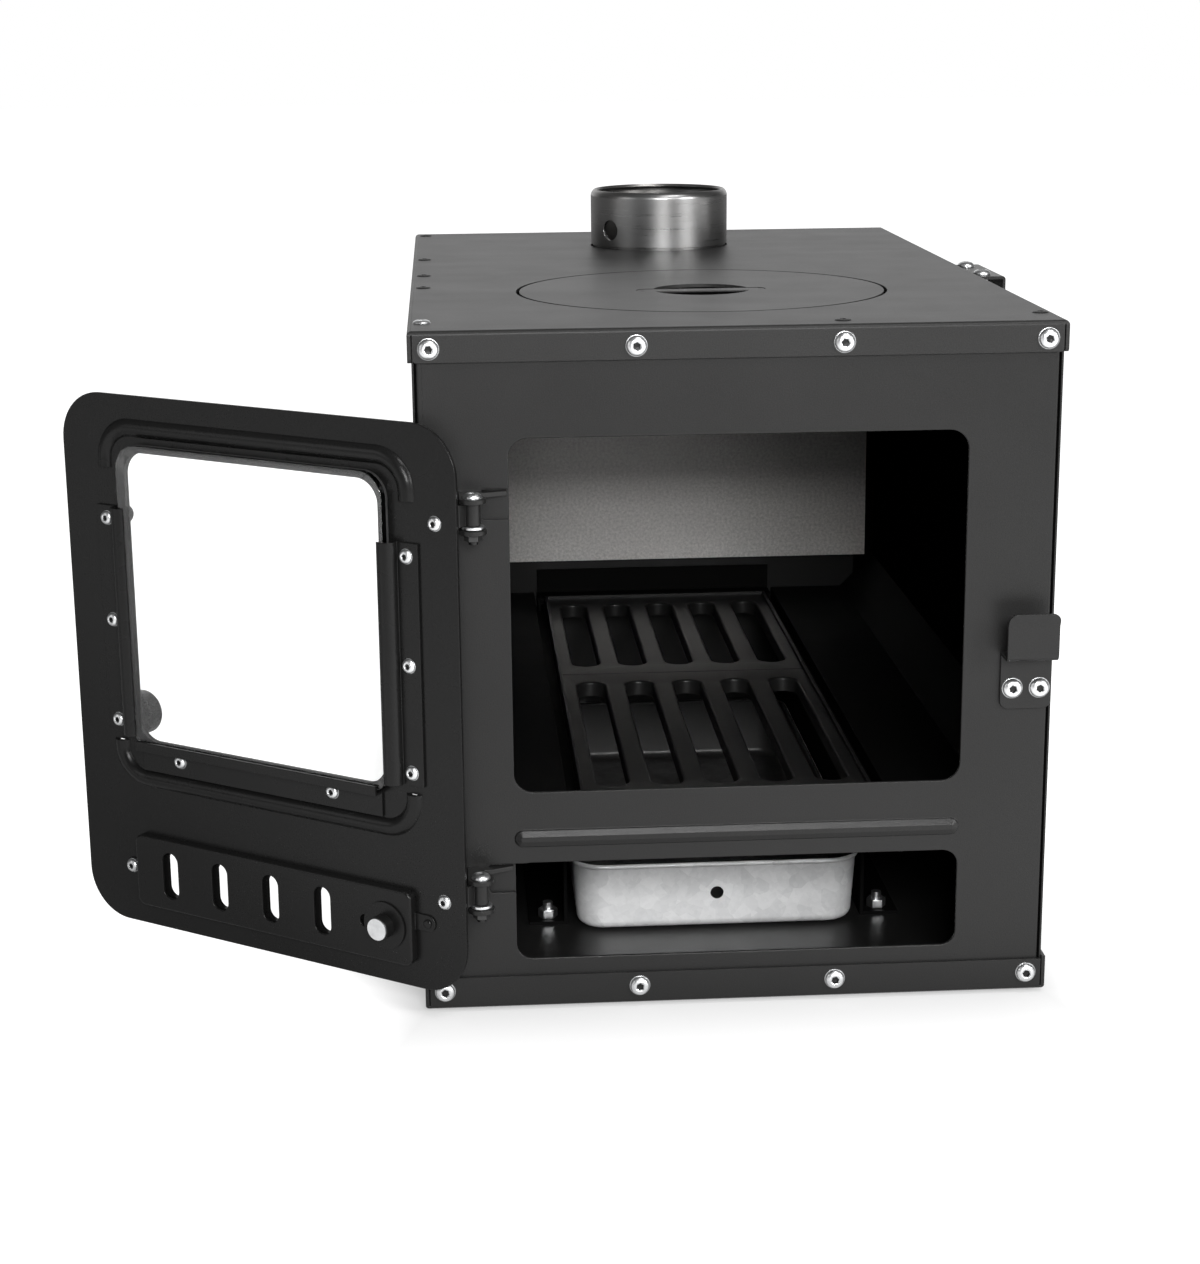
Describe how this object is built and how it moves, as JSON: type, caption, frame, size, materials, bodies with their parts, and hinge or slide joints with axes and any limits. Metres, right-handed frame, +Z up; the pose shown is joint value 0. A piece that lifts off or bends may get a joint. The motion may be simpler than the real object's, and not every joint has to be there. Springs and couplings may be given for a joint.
{
  "type": "box wood stove",
  "caption": "Sheet-steel wood stove with a glazed side-hung door, hob lid, flue collar, lift-out grates and a sliding ash pan.",
  "frame": {"origin": "on the floor, under the middle of the body and midway between its four pads", "axes": "+X to the right seen from the front, +Y towards the back, +Z up"},
  "size_m": [0.5463, 0.5556, 0.3988],
  "materials": {
    "body_paint": "satin charcoal heat-proof paint, fine grain",
    "hob_steel": "satin charcoal, slightly worn",
    "door_paint": "satin black",
    "firebox_steel": "matt black heat-proof paint",
    "lining_steel": "dull bare steel, mottled",
    "zinc_screws": "bright zinc plate",
    "collar_steel": "brushed satin steel",
    "pan_steel": "galvanised, mottled",
    "glass": "clear heat-proof glass",
    "gasket": "woven heat-proof tape",
    "knob_black": "black, lightly glossy",
    "pad_rubber": "matt black"
  },
  "bodies": {
    "stove": {"base_tray": "body_paint", "side_panel_left": "body_paint", "side_panel_right": "body_paint", "front_panel": "body_paint", "rear_panel": "body_paint", "top_cap": "body_paint", "latch_catch": "body_paint", "hinge_bracket_lower": "body_paint", "hinge_bracket_upper": "body_paint", "hanger_bracket": "body_paint", "lid_ring": "firebox_steel", "hearth_left": "firebox_steel", "hearth_right": "firebox_steel", "hearth_front": "firebox_steel", "hearth_rear": "firebox_steel", "pan_guide_left": "firebox_steel", "pan_guide_right": "firebox_steel", "grate_frame": "firebox_steel", "rear_lining": "lining_steel", "lining_spacers": "lining_steel", "skirt_screws": "zinc_screws", "body_nuts": "zinc_screws", "top_screws": "zinc_screws", "lining_bolts": "zinc_screws", "guide_studs": "zinc_screws", "catch_screws": "zinc_screws", "hinge_pins": "zinc_screws", "hinge_washers": "zinc_screws", "hinge_nuts": "zinc_screws", "hanger_screws": "zinc_screws", "flue_collar": "collar_steel", "foot_pads": "pad_rubber"},
    "latch": {"latch_arm": "door_paint", "latch_stud": "zinc_screws", "latch_knob": "knob_black"},
    "air_regulator": {"air_slider": "door_paint", "air_bush": "knob_black", "air_spindle": "zinc_screws", "air_knob": "knob_black"},
    "hob_lid": {"hob_lid": "hob_steel", "lid_bar": "hob_steel"},
    "front_grate": {"grate_front": "firebox_steel"},
    "rear_grate": {"grate_rear": "firebox_steel"},
    "ash_pan": {"ash_pan": "pan_steel"},
    "door": {"door_panel": "door_paint", "glass_gasket": "gasket", "window_glass": "glass", "glass_strip_hinge_side": "door_paint", "glass_strip_latch_side": "door_paint", "glass_strip_bottom": "door_paint", "strip_screws": "zinc_screws", "door_nuts": "zinc_screws", "air_cover": "door_paint", "air_cover_screw": "zinc_screws", "air_cover_rivet": "door_paint", "hinge_leaves": "body_paint", "leaf_screws": "zinc_screws", "latch_pivot": "zinc_screws", "latch_pivot_nut": "zinc_screws", "latch_stop": "knob_black"}
  },
  "joints": [
    {"name": "door_hinge", "type": "hinge", "parent": "stove", "child": "door", "pos_m": [-0.1355, -0.279, 0.1725], "axis": [0, 0, -1], "range_deg": [-214.9, 2]},
    {"name": "latch_turn", "type": "hinge", "parent": "door", "child": "latch", "pos_m": [-0.33905, -0.14432, 0.198], "axis": [0.5721, 0.8201, 0], "range_deg": [0, 170]},
    {"name": "air_slide", "type": "slide", "parent": "door", "child": "air_regulator", "axis": [-0.8201, 0.5721, 0], "range_m": [0, 0.013]},
    {"name": "hob_lid_lift", "type": "slide", "parent": "stove", "child": "hob_lid", "axis": [0, 0, 1], "range_m": [0, 0.04]},
    {"name": "front_grate_lift", "type": "slide", "parent": "stove", "child": "front_grate", "axis": [0, 0, 1], "range_m": [0, 0.03]},
    {"name": "rear_grate_lift", "type": "slide", "parent": "stove", "child": "rear_grate", "axis": [0, 0, 1], "range_m": [0, 0.03]},
    {"name": "ash_pan_slide", "type": "slide", "parent": "stove", "child": "ash_pan", "axis": [0, -1, 0], "range_m": [0, 0.088]}
  ]
}
